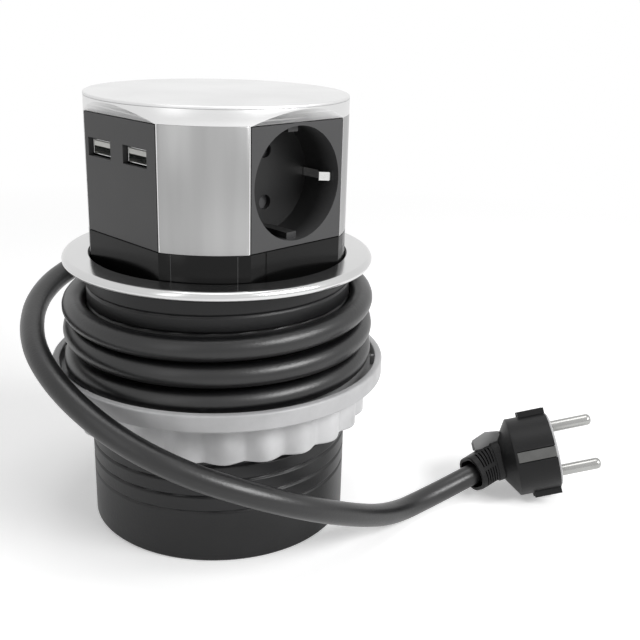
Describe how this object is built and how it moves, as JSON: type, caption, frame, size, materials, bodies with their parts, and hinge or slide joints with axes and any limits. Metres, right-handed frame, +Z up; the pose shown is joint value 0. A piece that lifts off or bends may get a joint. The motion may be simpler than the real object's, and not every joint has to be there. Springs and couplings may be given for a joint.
{
  "type": "pop up desk socket",
  "caption": "Round desk socket: a spring-lifted tower with earthed sockets and charging ports rises from a threaded tube clamped by a ring nut; cord coiled on.",
  "frame": {"origin": "on the floor, at the middle of the tube's foot", "axes": "+Z up along the tube; a socket face looks along -Y, +X and +Y, the USB face along -X"},
  "size_m": [0.2009, 0.1884, 0.1694],
  "materials": {
    "tube_black": "black moulded plastic with a fine satin sheen",
    "flange_metal": "satin brushed in rings",
    "lid_metal": "fine satin, silver",
    "band_silver": "silver satin paint",
    "panel_silver": "silver satin paint",
    "face_black": "black, semi-gloss",
    "plinth_black": "black, gloss",
    "ring_grey": "light grey moulded plastic, satin",
    "nut_grey": "light grey moulded plastic, satin",
    "cord_black": "black sheath, satin",
    "plug_black": "black moulded rubber, satin",
    "pin_nickel": "nickel plated",
    "clip_steel": "tinned spring strip",
    "contact_brass": "bare strip",
    "carrier_nylon": "natural nylon",
    "shutter_grey": "dark grey nylon",
    "screw_steel": "zinc plated",
    "spring_steel": "drawn spring wire",
    "shell_steel": "folded plated sheet",
    "board_green": "green solder mask",
    "chip_black": "moulded epoxy",
    "frame_black": "black moulded plastic",
    "latch_white": "natural acetal",
    "terminal_white": "off-white plastic"
  },
  "bodies": {
    "housing": {"housing_tube": "tube_black", "flange_ring": "flange_metal", "bottom_cap": "frame_black", "bottom_cap_screws": "screw_steel", "latch_pin": "screw_steel", "lift_spring": "spring_steel", "cable_gland": "frame_black", "gland_nut": "frame_black", "bend_relief": "plug_black", "cord_riser": "cord_black", "cord_coil": "cord_black", "cord_lead": "cord_black", "cord_clamp": "frame_black", "internal_lead": "cord_black", "plug_body": "plug_black", "plug_pins": "pin_nickel", "plug_earth_strips": "pin_nickel", "plug_relief": "plug_black"},
    "tower": {"lid_plate": "lid_metal", "cap_ring": "band_silver", "cap_screws": "screw_steel", "corner_panel_1": "panel_silver", "corner_panel_2": "panel_silver", "corner_panel_3": "panel_silver", "corner_panel_4": "panel_silver", "chassis": "frame_black", "socket_front_1": "face_black", "socket_front_2": "face_black", "socket_front_3": "face_black", "earth_clip_1": "clip_steel", "earth_clip_2": "clip_steel", "earth_clip_3": "clip_steel", "live_bus": "contact_brass", "neutral_bus": "contact_brass", "carrier_lower": "carrier_nylon", "carrier_middle": "carrier_nylon", "carrier_upper": "carrier_nylon", "usb_front": "face_black", "usb_shells": "shell_steel", "usb_tongues": "terminal_white", "usb_board": "board_green", "usb_converter": "chip_black", "usb_screws": "screw_steel", "plinth": "plinth_black", "carriage_base": "frame_black", "tower_screws": "screw_steel", "terminal_block": "terminal_white", "latch_striker": "frame_black"},
    "clamp": {"clamp_ring": "ring_grey"},
    "nut": {"ring_nut": "nut_grey"},
    "latch": {"latch_arm": "latch_white"},
    "shutter_1": {"shutter_1": "shutter_grey"},
    "shutter_2": {"shutter_2": "shutter_grey"},
    "shutter_3": {"shutter_3": "shutter_grey"}
  },
  "joints": [
    {"name": "tower_lift", "type": "slide", "parent": "housing", "child": "tower", "axis": [0, 0, 1], "range_m": [-0.06, 0], "stiffness_N_per_m": 140, "springref_m": 0.075, "deforming": ["lift_spring", "internal_lead"]},
    {"name": "clamp_travel", "type": "slide", "parent": "housing", "child": "clamp", "axis": [0, 0, 1], "range_m": [-0.022, 0]},
    {"name": "nut_turn", "type": "hinge", "parent": "clamp", "child": "nut", "pos_m": [0, 0, 0.052], "axis": [0, 0, 1], "range_deg": [-1240, 2]},
    {"name": "latch_swing", "type": "hinge", "parent": "housing", "child": "latch", "pos_m": [-0.027, 0, 0.009], "axis": [0, 1, 0], "range_deg": [0, 7], "stiffness_Nm_per_rad": 0.02, "springref_deg": -5.73},
    {"name": "shutter_turn_1", "type": "hinge", "parent": "tower", "child": "shutter_1", "pos_m": [0, -0.024, 0.1414], "axis": [0, -1, 0], "range_deg": [0, 42], "stiffness_Nm_per_rad": 0.002, "springref_deg": -11.46},
    {"name": "shutter_turn_2", "type": "hinge", "parent": "tower", "child": "shutter_2", "pos_m": [0.024, 0, 0.1414], "axis": [1, 0, 0], "range_deg": [0, 42], "stiffness_Nm_per_rad": 0.002, "springref_deg": -11.46},
    {"name": "shutter_turn_3", "type": "hinge", "parent": "tower", "child": "shutter_3", "pos_m": [0, 0.024, 0.1414], "axis": [0, 1, 0], "range_deg": [0, 42], "stiffness_Nm_per_rad": 0.002, "springref_deg": -11.46}
  ],
  "couplings": [
    {"joint": "nut_turn", "follows": "clamp_travel", "rad_per_m": 981.75}
  ]
}
